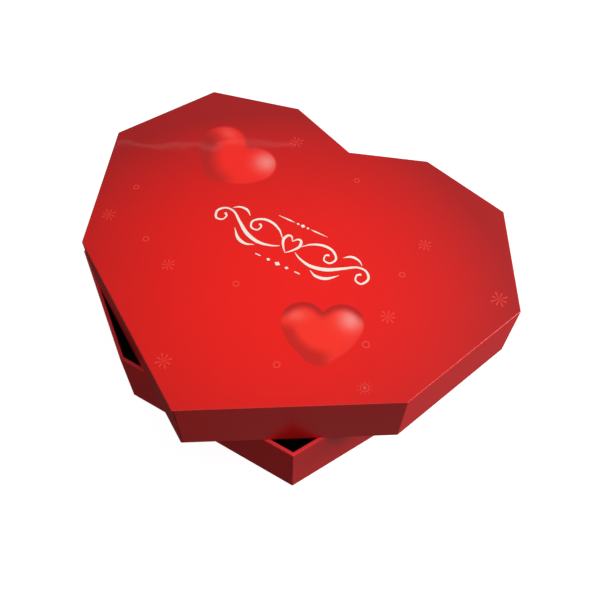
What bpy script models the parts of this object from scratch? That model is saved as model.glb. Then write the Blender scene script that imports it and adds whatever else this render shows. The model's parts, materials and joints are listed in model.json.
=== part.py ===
"""A faceted heart gift box with a lift-off lid and a wind-up musical movement inside.

The box stands on the ground plane with the heart's tip towards -Y and its cleft towards +Y. The lid
lies across the rim, turned and not pushed home. The movement is screwed to a raised floor, and its
key turns in the recess below that floor. The origin is on the ground, in the middle of the whole
box as it stands. Lengths are in metres.
"""

import math

import bmesh
import bpy
from mathutils import Matrix, Vector

MM = 0.001

# Heart outline of the lid's outside, right half, from the cleft round to the tip.
HEART = [(0, 0), (47.5, 18), (105.5, 3.5), (140, -59.5), (107, -142.5), (0, -207.5)]

# Box
BASE_HEIGHT = 52 * MM
LID_HEIGHT = 45.9 * MM
LID_TO_RIM = 0.1 * MM
LID_TURN = math.radians(-29.8)
LID_PIVOT = (-9.2 * MM, -80.4 * MM)
BASE_INSET = 2.6 * MM
WRAP = 0.3 * MM
LINING = 0.2 * MM
GLUE = 0.1 * MM
LID_BOARD = 1.4 * MM
LID_TOP_BOARD = 2.0 * MM
BASE_BOARD = 1.6 * MM
FLOOR_BOARD = 2.0 * MM
FLOOR_Z = 16 * MM
TURN_IN = 14 * MM
LINING_BELOW_RIM = 0.6 * MM

# Movement: its own frame has the winding arbor on the Z axis and the bedplate's underside at z = 0.
ARBOR_AT = (0, -88 * MM)
BEDPLATE_GAP = 0.2 * MM
PLATE = (-14.5 * MM, 40.9 * MM, -22 * MM, 19 * MM, 1.6 * MM)
SCREW_HOLES = [(-11 * MM, -16 * MM), (-11 * MM, 16 * MM), (25 * MM, 13 * MM)]
BOSS_HEIGHT = 5 * MM
RUNNING = 0.15 * MM
POST_Y = 16 * MM
POST_TOP = 18.1 * MM
BRIDGE_Z = (18.3 * MM, 19.7 * MM)
ARBOR_R = 1.6 * MM
ARBOR_TOP_R = 1.2 * MM

# Gear train, from the barrel to the fly
CROWN_TEETH = 60
PINION_TEETH = 12
CROWN_MODULE = 0.4 * MM
CYLINDER_GEAR_TEETH = 36
GOVERNOR_PINION_TEETH = 8
GOVERNOR_MODULE = 0.36 * MM
WORM_WHEEL_TEETH = 30
WORM_MODULE = 0.3 * MM

# Bedplate: lugs that carry the cylinder's arbor as (start along X, top), posts and bearings
BEARING_LUGS = [(13.5 * MM, 12 * MM), (35.7 * MM, 11.4 * MM)]
LUG_THICK = 1.2 * MM
LUG_HALF_WIDTH = 1.6 * MM
POST_HALF = (2.5 * MM, 2.0 * MM)
BOSS_R = 2.6 * MM
MOUNTING_HOLE_R = 1.5 * MM
SMALL_HOLE_R = 1.05 * MM
SMALL_HOLE_DEPTH = 4 * MM
COMB_STEP_MARGIN = 3 * MM

# Barrel, with its crown teeth cut in the great wheel's upper face
HUB_R = 2.2 * MM
DRUM_R = 10.4 * MM
DRUM_WALL = 0.8 * MM
DRUM_TOP = 16.8 * MM
GREAT_WHEEL_THICK = 1.6 * MM
CROWN_HALF_WIDTH = 1.0 * MM
CROWN_DEPTH = 0.8 * MM
CROWN_ADDENDUM = 0.25 * MM
BARREL_COVER_THICK = 0.7 * MM
SPRING_TURNS = 6
SPRING_THICK = 0.35 * MM
SPRING_START_R = 2.5 * MM

# Ratchet and click. The click's nose meets the ratchet in the direction of CLICK_ANGLE.
RATCHET_TEETH = 24
RATCHET_R = (5.2 * MM, 6.0 * MM)
RATCHET_Z = (20.0 * MM, 21.0 * MM)
CLICK_ANGLE = math.radians(-50)
CLICK_REACH_R = 5.6 * MM
CLICK_LENGTH = 7.0 * MM
CLICK_BOSS_R = 1.7 * MM
CLICK_PIVOT = (
    CLICK_REACH_R * math.cos(CLICK_ANGLE) + CLICK_LENGTH * math.sin(CLICK_ANGLE),
    CLICK_REACH_R * math.sin(CLICK_ANGLE) - CLICK_LENGTH * math.cos(CLICK_ANGLE),
)
# Lever of the click beyond its boss, from the pivot along the tangent, in millimetres
CLICK_LEVER = [(3.5, -1.6), (5.8, -1.3), (7.0, -0.1), (6.9, 0.15), (5.75, -0.5), (4.0, -0.45), (2.2, 0.1)]
# Leaf spring of the click, in millimetres from the arbor
CLICK_SPRING = [(-3.2, -14.6), (-0.8, -13.8), (1.2, -12.4), (2.6, -10.5), (3.4, -8.2)]
CLICK_SPRING_HALF = Vector((0.14 * MM, -0.14 * MM))

# Cylinder and comb
CYLINDER_Z = 9.2 * MM
CYLINDER_R = 6.5 * MM
CYLINDER_X = (15.3 * MM, 31.7 * MM)
CYLINDER_ARBOR_R = 1.0 * MM
CYLINDER_ARBOR_END = 37.2 * MM
PINION_X = (11.1 * MM, 12.9 * MM)
GEAR_X = (33.6 * MM, 35.0 * MM)
COMB_TEETH = 18
COMB_TIP_Y = -7.6 * MM
COMB_ROOT_Y = -16 * MM
COMB_BACK_Y = -21.6 * MM
COMB_Z = (8.8 * MM, 9.7 * MM)
COMB_SCREW_X = (18 * MM, 29 * MM)
COMB_SCREW_Y = -18.9 * MM
COMB_SLIT = 0.2 * MM
COMB_TIP_MARGIN = 0.26

# Governor
GOVERNOR_YZ = (7.0 * MM, 12.9 * MM)
WORM_WHEEL_X = (35.9 * MM, 36.9 * MM)
WORM_PITCH_R = 1.0 * MM
WORM_TIP_R = 1.18 * MM
WORM_ROOT_R = 0.7 * MM
WORM_HALF_LENGTH = 2.6 * MM
WORM_HALF_TURNS = 2.25
PIVOT_R = 0.5 * MM
PIVOT_HOLE_R = 0.65 * MM
WORM_SHAFT_Z = (1.9 * MM, 17.0 * MM)
GOVERNOR_ARBOR_X = (31.9 * MM, 39.1 * MM)
FLY_Z = (2.7 * MM, 7.6 * MM)
FLY_R = 4.0 * MM
FLY_HUB_R = 1.3 * MM
FLY_HALF_THICK = 0.2 * MM
FLY_MARGIN = 0.3 * MM
GOVERNOR_SCREW = (29.5 * MM, 15.4 * MM)
GOVERNOR_SCREW_HOLE_R = 1.1 * MM

# Governor frame: back wall, cheeks, the arm over the fly and the foot under the screw
FRAME_WALL = ((27.4 * MM, 39.2 * MM), (17.2 * MM, 18.6 * MM), (1.8 * MM, 17.4 * MM))
FRAME_CHEEKS_X = [(32.1 * MM, 33.1 * MM), (37.9 * MM, 38.9 * MM)]
FRAME_CHEEK_Y = 5.7 * MM
FRAME_CHEEK_Z = (9.4 * MM, 16.2 * MM)
FRAME_ARM_Z = (16.0 * MM, 17.2 * MM)
FRAME_ARM_HALF = (1.2 * MM, 1.3 * MM)
FRAME_FOOT = ((27.7 * MM, 31.3 * MM), (13.6 * MM, 17.9 * MM), (1.9 * MM, 3.2 * MM))
FRAME_JOIN_Y = 17.9 * MM

# Key
KEY_TOP = -3.4 * MM
KEY_COLLAR = (3.0 * MM, 6.0 * MM)
KEY_LOBE = (4.9 * MM, 4.4 * MM, 1.5 * MM)
KEY_BOTTOM = -16.4 * MM
KEY_WEB_HALF_WIDTH = 2.4 * MM
KEY_EYE_R = 1.7 * MM
KEY_EYE_SHIFT = 0.4 * MM
KEY_SOCKET_R = 1.65 * MM
KEY_SOCKET_DEPTH = 5 * MM

# Bridge over the barrel
BRIDGE_HALF_WIDTH = 4.6 * MM
BRIDGE_END_HALF_WIDTH = 2.5 * MM
BRIDGE_TAPER_Y = 11 * MM

# Clear cap over the movement
COVER_GAP = 0.3 * MM
COVER_WALL = 1.0 * MM
COVER_TOP = 24.5 * MM


def clear_scene():
    for old in list(bpy.data.objects):
        bpy.data.objects.remove(old, do_unlink=True)


# ---------------------------------------------------------------- materials


def material(name, colour, roughness, metallic=0.0):
    made = bpy.data.materials.new(name)
    made.use_nodes = True
    shader = made.node_tree.nodes["Principled BSDF"]
    shader.inputs["Base Color"].default_value = (*colour, 1)
    shader.inputs["Roughness"].default_value = roughness
    shader.inputs["Metallic"].default_value = metallic
    return made


# ---------------------------------------------------------------- shapes


def add_loft(bm, loops, ring=False):
    """Skin between loops of equally many points. The ends are capped, or joined up as a ring."""
    rows = [[bm.verts.new(point) for point in loop] for loop in loops]
    pairs = list(zip(rows, rows[1:]))
    if ring:
        pairs.append((rows[-1], rows[0]))
    for low, high in pairs:
        for i, vert in enumerate(low):
            j = (i + 1) % len(low)
            bm.faces.new((vert, low[j], high[j], high[i]))
    if not ring:
        bm.faces.new(rows[0])
        bm.faces.new(rows[-1])
    bmesh.ops.recalc_face_normals(bm, faces=bm.faces)


def add_box(bm, x, y, z):
    corners = [(x[0], y[0]), (x[1], y[0]), (x[1], y[1]), (x[0], y[1])]
    add_loft(bm, [[(a, b, level) for a, b in corners] for level in z])


def circle(radius, level, sides, centre=(0, 0)):
    turns = [2 * math.pi * i / sides for i in range(sides)]
    return [(centre[0] + radius * math.cos(a), centre[1] + radius * math.sin(a), level) for a in turns]


def add_rod(bm, radius, z, centre=(0, 0), sides=16, along="Z"):
    """A closed cylinder along Z, or along X or Y with centre giving the other two places."""
    loops = [circle(radius, level, sides, centre) for level in z]
    if along == "X":
        loops = [[(c, a, b) for a, b, c in loop] for loop in loops]
    if along == "Y":
        loops = [[(a, c, b) for a, b, c in loop] for loop in loops]
    add_loft(bm, loops)


def place(name, bm, finish, parent, smooth=False):
    """Turn the bmesh into a named object under its parent empty."""
    mesh = bpy.data.meshes.new(name)
    bm.to_mesh(mesh)
    bm.free()
    mesh.materials.append(finish)
    if smooth:
        mesh.shade_smooth()
        mesh.set_sharp_from_angle(angle=math.radians(35))
    made = bpy.data.objects.new(name, mesh)
    bpy.context.collection.objects.link(made)
    made.parent = parent
    return made


def frame_empty(name, location, turn=0.0, parent=None):
    made = bpy.data.objects.new(name, None)
    bpy.context.collection.objects.link(made)
    made.location = location
    made.rotation_euler = (0, 0, turn)
    made.parent = parent
    return made


def boolean(target, bm, operation):
    """Cut a helper shape from the target, or join it on. The helper isn't part of the object."""
    mesh = bpy.data.meshes.new(f"{target.name}_helper")
    bm.to_mesh(mesh)
    bm.free()
    helper = bpy.data.objects.new(mesh.name, mesh)
    bpy.context.collection.objects.link(helper)
    helper.parent = target.parent
    helper.location = target.location
    helper.rotation_euler = target.rotation_euler
    helper.hide_render = True
    helper.display_type = "WIRE"
    change = target.modifiers.new(operation.lower(), "BOOLEAN")
    change.object = helper
    change.operation = operation
    change.solver = "EXACT"


def heart_loop(inset, level):
    """The heart's ten corners, moved in by the inset with every side kept parallel."""
    right = [(x * MM, y * MM) for x, y in HEART]
    left = [(-x, y) for x, y in reversed(right[1:-1])]
    corners = [Vector(point) for point in right + left]
    moved = []
    for i, corner in enumerate(corners):
        before = (corner - corners[i - 1]).normalized()
        after = (corners[(i + 1) % len(corners)] - corner).normalized()
        inward = Vector((before.y + after.y, -before.x - after.x)) / (1 + before.dot(after))
        moved.append(corner + inward * inset)
    return [(point.x, point.y, level) for point in moved]


def heart_skin(name, profile, finish, parent, ring=False):
    """A board or sheet that follows the heart. The profile is a list of (inset, height)."""
    bm = bmesh.new()
    add_loft(bm, [heart_loop(inset, level) for inset, level in profile], ring)
    return place(name, bm, finish, parent)


def box_profile(inset, thickness, low, high):
    return [(inset, low), (inset, high), (inset + thickness, high), (inset + thickness, low)]


def turned(name, profile, finish, parent, sides=32, ring=False, at=(0, 0, 0), along="Z"):
    """A piece turned about its own Z axis from a profile of (radius, height)."""
    bm = bmesh.new()
    add_loft(bm, [circle(radius, level, sides) for radius, level in profile], ring)
    made = place(name, bm, finish, parent, smooth=True)
    made.location = at
    if along == "X":
        made.rotation_euler = (0, math.pi / 2, 0)
    return made


def tooth_loop(points, level):
    return [(r * math.cos(a), r * math.sin(a), level) for a, r in points]


def spur_teeth(teeth, module, addendum, dedendum, tip_share, root_share):
    """Corners (angle, radius) of straight-sided teeth. A tooth is centred on angle 0."""
    pitch = 2 * math.pi / teeth
    tip = module * teeth / 2 + addendum
    root = module * teeth / 2 - dedendum
    points = []
    for i in range(teeth):
        middle = i * pitch
        points += [
            (middle - pitch * root_share / 2, root),
            (middle - pitch * tip_share / 2, tip),
            (middle + pitch * tip_share / 2, tip),
            (middle + pitch * root_share / 2, root),
        ]
    return points


def turn_points(points, turn):
    return [(a + turn, r) for a, r in points]


def toothed_ring(bm, points, hole, z):
    """A toothed wheel with a round hole."""
    rim = [tooth_loop(points, level) for level in z]
    bore = [tooth_loop([(a, hole) for a, _ in points], level) for level in reversed(z)]
    add_loft(bm, rim + bore, ring=True)


# ---------------------------------------------------------------- the box


def lid_outline_in_base():
    turn = Matrix.Rotation(LID_TURN, 2)
    pivot = Vector(LID_PIVOT)
    return [pivot + turn @ (Vector(p[:2]) - pivot) for p in heart_loop(0, 0)]


def ground_origin():
    """Where the base's own origin goes, so that the whole box stands centred on the world origin."""
    outline = lid_outline_in_base() + [Vector(p[:2]) for p in heart_loop(BASE_INSET, 0)]
    xs = [p.x for p in outline]
    ys = [p.y for p in outline]
    return (-(min(xs) + max(xs)) / 2, -(min(ys) + max(ys)) / 2, 0)


def build_lid(lid, red, board, black):
    """The lid: top and wall boards, the red wrap turned in at the rim, and the black lining."""
    top = LID_HEIGHT
    rim = 2 * WRAP + 2 * GLUE + LID_BOARD
    heart_skin(
        "lid_wrap",
        [
            (0, top),
            (0, 0),
            (rim, 0),
            (rim, TURN_IN),
            (rim - WRAP, TURN_IN),
            (rim - WRAP, WRAP),
            (WRAP, WRAP),
            (WRAP, top - WRAP),
        ],
        red,
        lid,
    )
    skin = WRAP + GLUE
    under_board = top - skin - LID_TOP_BOARD
    heart_skin("lid_top_board", [(skin, under_board), (skin, top - skin)], board, lid)
    heart_skin(
        "lid_wall_board",
        box_profile(skin, LID_BOARD, skin, under_board - GLUE),
        board,
        lid,
        ring=True,
    )
    inside = skin + LID_BOARD + GLUE
    ceiling = under_board - GLUE
    low = TURN_IN + GLUE
    heart_skin(
        "lid_lining",
        [(inside, ceiling), (inside, low), (inside + LINING, low), (inside + LINING, ceiling - LINING)],
        black,
        lid,
    )


def floor_holes(low, high):
    """Cutter for the key's hole and the three screws, in the base's frame."""
    bm = bmesh.new()
    z = (low, high)
    add_rod(bm, 3 * MM, z, ARBOR_AT)
    for x, y in SCREW_HOLES:
        add_rod(bm, 1.7 * MM, z, (ARBOR_AT[0] + x, ARBOR_AT[1] + y), sides=12)
    return bm


def build_base(base, red, board, black):
    """The tray. Returns the height of its floor lining, where the movement stands."""
    outer = BASE_INSET
    skin = WRAP + GLUE
    rim = 2 * skin + BASE_BOARD
    top = BASE_HEIGHT
    inner = outer + rim
    heart_skin(
        "base_wrap",
        [
            (outer, 0),
            (outer, top),
            (inner, top),
            (inner, top - TURN_IN),
            (inner - WRAP, top - TURN_IN),
            (inner - WRAP, top - WRAP),
            (outer + WRAP, top - WRAP),
            (outer + WRAP, WRAP),
            (inner - WRAP, WRAP),
            (inner - WRAP, TURN_IN),
            (inner, TURN_IN),
            (inner, 0),
        ],
        red,
        base,
        ring=True,
    )
    heart_skin(
        "base_wall_board",
        box_profile(outer + skin, BASE_BOARD, skin, top - skin),
        board,
        base,
        ring=True,
    )
    edge = outer + skin + BASE_BOARD + GLUE
    floor_top = FLOOR_Z + FLOOR_BOARD
    lining_top = floor_top + GLUE + LINING
    sheets = [
        ("base_floor_board", edge, FLOOR_Z, floor_top, board),
        ("base_floor_lining", inner + 2 * GLUE + LINING, floor_top + GLUE, lining_top, black),
        ("base_underside_paper", edge, FLOOR_Z - GLUE - LINING, FLOOR_Z - GLUE, black),
    ]
    for name, inset, low, high, finish in sheets:
        sheet = heart_skin(name, [(inset, low), (inset, high)], finish, base)
        boolean(sheet, floor_holes(low - MM, high + MM), "DIFFERENCE")
    heart_skin(
        "base_wall_lining",
        box_profile(inner + GLUE, LINING, floor_top + GLUE, top - LINING_BELOW_RIM),
        black,
        base,
        ring=True,
    )
    return lining_top


# ---------------------------------------------------------------- the movement


def screw(name, finish, parent, at, head=(2.0 * MM, 1.2 * MM), shank=(0.9 * MM, 3 * MM), flip=False):
    """A slotted screw. The head's bearing face is at z = 0 of the screw, and the shank runs down."""
    profile = [
        (shank[0], -shank[1]),
        (shank[0], 0),
        (head[0], 0),
        (head[0], head[1] * 0.7),
        (head[0] * 0.75, head[1]),
    ]
    made = turned(name, profile, finish, parent, sides=16, at=at)
    if flip:
        made.rotation_euler = (math.pi, 0, 0)
    slot = bmesh.new()
    half = 0.25 * MM
    add_box(slot, (-3 * head[0], 3 * head[0]), (-half, half), (head[1] * 0.55, head[1] * 2))
    boolean(made, slot, "DIFFERENCE")


def build_bedplate(movement, zinc):
    """The casting that carries everything: plate, comb step, bearing lugs, posts and bosses."""
    x0, x1, y0, y1, thick = PLATE
    bm = bmesh.new()
    add_box(bm, (x0, x1), (y0, y1), (0, thick))
    plate = place("bedplate", bm, zinc, movement)
    sunk = thick / 2
    raised = bmesh.new()
    comb_step = (COMB_SCREW_X[0] - COMB_STEP_MARGIN, COMB_SCREW_X[1] + COMB_STEP_MARGIN)
    add_box(raised, comb_step, (COMB_BACK_Y, COMB_ROOT_Y), (sunk, COMB_Z[0] - GLUE))
    for x, top in BEARING_LUGS:
        add_box(raised, (x, x + LUG_THICK), (-LUG_HALF_WIDTH, LUG_HALF_WIDTH), (sunk, top))
    half_x, half_y = POST_HALF
    for y in (-POST_Y, POST_Y):
        add_box(raised, (-half_x, half_x), (y - half_y, y + half_y), (sunk, POST_TOP))
    for x, y in SCREW_HOLES:
        add_rod(raised, BOSS_R, (sunk, BOSS_HEIGHT), (x, y))
    boolean(plate, raised, "UNION")
    holes = bmesh.new()
    through = (-MM, BOSS_HEIGHT + MM)
    add_rod(holes, ARBOR_R + RUNNING, through)
    for x, y in SCREW_HOLES:
        add_rod(holes, MOUNTING_HOLE_R, through, (x, y), sides=12)
    for x in COMB_SCREW_X:
        depth = (COMB_Z[0] - SMALL_HOLE_DEPTH, COMB_Z[0] + MM)
        add_rod(holes, SMALL_HOLE_R, depth, (x, COMB_SCREW_Y), sides=12)
    for y in (-POST_Y, POST_Y):
        depth = (POST_TOP - SMALL_HOLE_DEPTH, POST_TOP + MM)
        add_rod(holes, SMALL_HOLE_R, depth, (0, y), sides=12)
    add_rod(holes, SMALL_HOLE_R, (-MM, thick + MM), GOVERNOR_SCREW, sides=12)
    reach = (BEARING_LUGS[0][0] - MM, BEARING_LUGS[1][0] + LUG_THICK + MM)
    add_rod(holes, CYLINDER_ARBOR_R + RUNNING, reach, (0, CYLINDER_Z), along="X")
    boolean(plate, holes, "DIFFERENCE")


def build_bridge(movement, steel):
    bm = bmesh.new()
    half, end_half, taper = BRIDGE_HALF_WIDTH, BRIDGE_END_HALF_WIDTH, BRIDGE_TAPER_Y
    end = POST_Y + POST_HALF[1]
    corners = [(-half, -taper), (-end_half, -end), (end_half, -end), (half, -taper)]
    corners += [(x, -y) for x, y in reversed(corners)]
    add_loft(bm, [[(x, y, level) for x, y in corners] for level in BRIDGE_Z])
    bridge = place("barrel_bridge", bm, steel, movement)
    holes = bmesh.new()
    z = (BRIDGE_Z[0] - MM, BRIDGE_Z[1] + MM)
    add_rod(holes, ARBOR_R + RUNNING, z)
    for y in (-POST_Y, POST_Y):
        add_rod(holes, SMALL_HOLE_R, z, (0, y), sides=12)
    add_rod(holes, 0.85 * MM, z, CLICK_PIVOT, sides=12)
    boolean(bridge, holes, "DIFFERENCE")
    for name, side in (("bridge_screw_front", -1), ("bridge_screw_back", 1)):
        screw(name, steel, movement, (0, side * POST_Y, BRIDGE_Z[1] + GLUE))


def build_barrel(movement, barrel, brass, steel, blued):
    """The going barrel: drum, cover, mainspring, and the crown-toothed great wheel beneath."""
    pitch_r = CROWN_MODULE * CROWN_TEETH / 2
    r_in, r_out = pitch_r - CROWN_HALF_WIDTH, pitch_r + CROWN_HALF_WIDTH
    pitch_z = CYLINDER_Z - CROWN_MODULE * PINION_TEETH / 2
    floor_z = pitch_z - CROWN_DEPTH
    disc_z = floor_z - GREAT_WHEEL_THICK
    build_great_wheel(barrel, brass, (r_in, r_out), (disc_z, floor_z, pitch_z + CROWN_ADDENDUM))
    low = floor_z + 0.3 * MM
    inside_r, floor = DRUM_R - DRUM_WALL, low + DRUM_WALL
    drum = [(HUB_R, low), (DRUM_R, low), (DRUM_R, DRUM_TOP), (inside_r, DRUM_TOP)]
    drum += [(inside_r, floor), (HUB_R, floor)]
    turned("spring_barrel", drum, brass, barrel, sides=40, ring=True)
    lid_z = DRUM_TOP + GLUE
    lid_top = lid_z + BARREL_COVER_THICK
    cover = [(HUB_R, lid_z), (DRUM_R, lid_z), (DRUM_R - 0.3 * MM, lid_top), (HUB_R, lid_top)]
    turned("barrel_cover", cover, steel, barrel, sides=40, ring=True)
    build_mainspring(barrel, blued, inside_r, (floor + 0.3 * MM, DRUM_TOP - 0.3 * MM))


def build_great_wheel(barrel, brass, radii, levels):
    """A disc whose upper face has a ring of tapering teeth that stand up like a crown."""
    r_in, r_out = radii
    disc_z, floor_z, tip_z = levels
    step = 2 * math.pi / CROWN_TEETH
    angles = []
    for i in range(CROWN_TEETH):
        angles += [(i - 0.24) * step, (i + 0.24) * step]
    bm = bmesh.new()
    loops = [(HUB_R, disc_z), (r_out, disc_z), (r_out, floor_z), (r_in, floor_z), (HUB_R, floor_z)]
    add_loft(bm, [tooth_loop([(a, r) for a in angles], level) for r, level in loops], ring=True)
    teeth = [face for face in bm.faces if is_tooth(face, step, r_in, floor_z)]
    for face in bmesh.ops.extrude_discrete_faces(bm, faces=teeth)["faces"]:
        along = face.calc_center_median().xy.normalized()
        for vert in face.verts:
            radial = along * vert.co.xy.dot(along)
            narrow = radial + (vert.co.xy - radial) * 0.5
            vert.co = Vector((narrow.x, narrow.y, tip_z))
    place("great_wheel", bm, brass, barrel)


def build_mainspring(barrel, blued, inside_r, z):
    """The wound spring, a spiral strip from the arbor out to the drum's wall."""
    per_turn = 18
    steps = SPRING_TURNS * per_turn
    end_r = inside_r - SPRING_THICK - 0.3 * MM
    sections = []
    for i in range(steps + 1):
        a = 2 * math.pi * i / per_turn
        r = SPRING_START_R + (end_r - SPRING_START_R) * i / steps
        outer = r + SPRING_THICK
        corners = ((r, z[0]), (r, z[1]), (outer, z[1]), (outer, z[0]))
        sections.append([(q * math.cos(a), q * math.sin(a), level) for q, level in corners])
    bm = bmesh.new()
    add_loft(bm, sections)
    place("mainspring", bm, blued, barrel, smooth=True)


def is_tooth(face, step, r_in, floor_z):
    """A face of the crown's ring is a tooth when its middle lies on a whole number of tooth steps."""
    middle = face.calc_center_median()
    if abs(middle.z - floor_z) > MM / 1000 or middle.xy.length < r_in:
        return False
    share = math.atan2(middle.y, middle.x) / step
    return abs(share - round(share)) < 0.1


def build_arbor(movement, wind, steel, brass):
    """The winding arbor with its ratchet wheel above the bridge and the key below the floor."""
    key_high = KEY_TOP - 0.3 * MM
    turned(
        "winding_arbor",
        [
            (1.5 * MM, key_high - 4.5 * MM),
            (1.5 * MM, KEY_TOP + 0.4 * MM),
            (ARBOR_R, KEY_TOP + 0.4 * MM),
            (ARBOR_R, BRIDGE_Z[1]),
            (ARBOR_TOP_R, BRIDGE_Z[1]),
            (ARBOR_TOP_R, BRIDGE_Z[1] + 1.9 * MM),
            (ARBOR_TOP_R * 0.6, BRIDGE_Z[1] + 2.2 * MM),
        ],
        steel,
        wind,
        sides=20,
    )
    bm = bmesh.new()
    toothed_ring(bm, ratchet_points(), ARBOR_TOP_R + GLUE, RATCHET_Z)
    place("ratchet_wheel", bm, steel, wind)
    build_key(wind, brass)


def ratchet_points():
    """Saw teeth: each rises steeply and falls gently, going round anticlockwise."""
    step = 2 * math.pi / RATCHET_TEETH
    points = []
    for i in range(RATCHET_TEETH):
        steep = CLICK_ANGLE + 0.03 + i * step
        points += [(steep, RATCHET_R[0]), (steep + 0.02, RATCHET_R[1])]
    return points


def build_key(wind, brass):
    """The butterfly key: a collar with a blind socket, and two round wings with an eye in each."""
    bm = bmesh.new()
    collar_r, collar_length = KEY_COLLAR
    add_rod(bm, collar_r, (KEY_TOP - collar_length, KEY_TOP), sides=20)
    key = place("winding_key", bm, brass, wind, smooth=True)
    lobe_x, lobe_r, thick = KEY_LOBE
    lobe_z = KEY_BOTTOM + lobe_r
    for side in (-1, 1):
        lobe = bmesh.new()
        add_rod(lobe, lobe_r, (-thick / 2, thick / 2), (side * lobe_x, lobe_z), sides=24, along="Y")
        boolean(key, lobe, "UNION")
    web = bmesh.new()
    z = (lobe_z - 2.6 * MM, KEY_TOP - collar_length / 2)
    half = 0.9 * thick / 2
    add_box(web, (-KEY_WEB_HALF_WIDTH, KEY_WEB_HALF_WIDTH), (-half, half), z)
    boolean(key, web, "UNION")
    eyes = bmesh.new()
    for side in (-1, 1):
        centre = (side * (lobe_x + KEY_EYE_SHIFT), lobe_z)
        add_rod(eyes, KEY_EYE_R, (-thick, thick), centre, sides=16, along="Y")
    add_rod(eyes, KEY_SOCKET_R, (KEY_TOP - KEY_SOCKET_DEPTH, KEY_TOP + MM))
    boolean(key, eyes, "DIFFERENCE")


def build_click(movement, click, steel, blued):
    """The click, lying along the ratchet's tangent, with its shoulder screw and leaf spring."""
    outline = [Vector(point) * MM for point in CLICK_LEVER]
    for degrees in range(45, 271, 25):
        a = math.radians(degrees)
        outline.append(Vector((math.cos(a), math.sin(a))) * CLICK_BOSS_R)
    turn = Matrix.Rotation(CLICK_ANGLE + math.pi / 2, 2)
    outline = [turn @ point for point in outline]
    bm = bmesh.new()
    add_loft(bm, [[(p.x, p.y, level) for p in outline] for level in RATCHET_Z])
    made = place("click", bm, steel, click)
    hole = bmesh.new()
    add_rod(hole, 0.75 * MM, (RATCHET_Z[0] - MM, RATCHET_Z[1] + MM), sides=12)
    boolean(made, hole, "DIFFERENCE")
    screw(
        "click_screw",
        steel,
        movement,
        (*CLICK_PIVOT, RATCHET_Z[1] + 0.15 * MM),
        head=(1.5 * MM, 0.9 * MM),
        shank=(0.6 * MM, 2.2 * MM),
    )
    half = CLICK_SPRING_HALF
    low, high = BRIDGE_Z[1] + GLUE, RATCHET_Z[1]
    sections = []
    for point in CLICK_SPRING:
        p = Vector(point) * MM
        sections.append([(*(p - half), low), (*(p - half), high), (*(p + half), high), (*(p + half), low)])
    spring = bmesh.new()
    add_loft(spring, sections)
    place("click_spring", spring, blued, movement)


def build_cylinder(movement, cylinder, brass, steel):
    """The note cylinder on its arbor. The cylinder's empty lies on its axis, with its Z along +X."""
    hole = CYLINDER_ARBOR_R + GLUE
    x0, x1 = CYLINDER_X
    turned(
        "cylinder",
        [(hole, x0), (CYLINDER_R, x0), (CYLINDER_R, x1), (hole, x1)],
        brass,
        cylinder,
        sides=48,
        ring=True,
    )
    turned(
        "cylinder_arbor",
        [(CYLINDER_ARBOR_R, PINION_X[0] - 0.3 * MM), (CYLINDER_ARBOR_R, CYLINDER_ARBOR_END)],
        steel,
        cylinder,
        sides=16,
    )
    pinion = spur_teeth(PINION_TEETH, CROWN_MODULE, 0.3 * MM, 0.5 * MM, 0.2, 0.44)
    half_step = math.pi / PINION_TEETH
    bm = bmesh.new()
    toothed_ring(bm, turn_points(pinion, half_step), hole, PINION_X)
    place("cylinder_pinion", bm, brass, cylinder)
    gear = spur_teeth(CYLINDER_GEAR_TEETH, GOVERNOR_MODULE, 0.28 * MM, 0.42 * MM, 0.2, 0.46)
    bm = bmesh.new()
    toothed_ring(bm, turn_points(gear, governor_angle()), hole, GEAR_X)
    place("cylinder_gear", bm, brass, cylinder)


def governor_angle():
    """Direction from the cylinder's axis to the governor's, in the turned frame of the X axles."""
    y, z = GOVERNOR_YZ[0], GOVERNOR_YZ[1] - CYLINDER_Z
    return math.atan2(y, -z)


def build_comb(movement, steel):
    """A steel comb: one blade with a tooth for each note, held by two screws."""
    x0, x1 = CYLINDER_X[0] + GLUE, CYLINDER_X[1] - GLUE
    pitch = (x1 - x0) / COMB_TEETH
    tip = pitch * COMB_TIP_MARGIN
    half_slit = COMB_SLIT / 2
    back = COMB_BACK_Y + 0.2 * MM
    outline = [(x0, back)]
    for i in range(COMB_TEETH):
        a, b = x0 + i * pitch, x0 + (i + 1) * pitch
        outline += [(a + half_slit, COMB_ROOT_Y), (a + tip, COMB_TIP_Y)]
        outline += [(b - tip, COMB_TIP_Y), (b - half_slit, COMB_ROOT_Y)]
    outline.append((x1, back))
    bm = bmesh.new()
    add_loft(bm, [[(x, y, level) for x, y in outline] for level in COMB_Z])
    comb = place("comb", bm, steel, movement)
    holes = bmesh.new()
    for x in COMB_SCREW_X:
        add_rod(holes, SMALL_HOLE_R, (COMB_Z[0] - MM, COMB_Z[1] + MM), (x, COMB_SCREW_Y), sides=12)
    boolean(comb, holes, "DIFFERENCE")
    for name, x in zip(("comb_screw_left", "comb_screw_right"), COMB_SCREW_X):
        screw(name, steel, movement, (x, COMB_SCREW_Y, COMB_Z[1] + GLUE))


def worm_axis():
    """Where the fly's upright shaft stands."""
    reach = WORM_MODULE * WORM_WHEEL_TEETH / 2 + WORM_PITCH_R
    return ((WORM_WHEEL_X[0] + WORM_WHEEL_X[1]) / 2, GOVERNOR_YZ[0] + reach)


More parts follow.
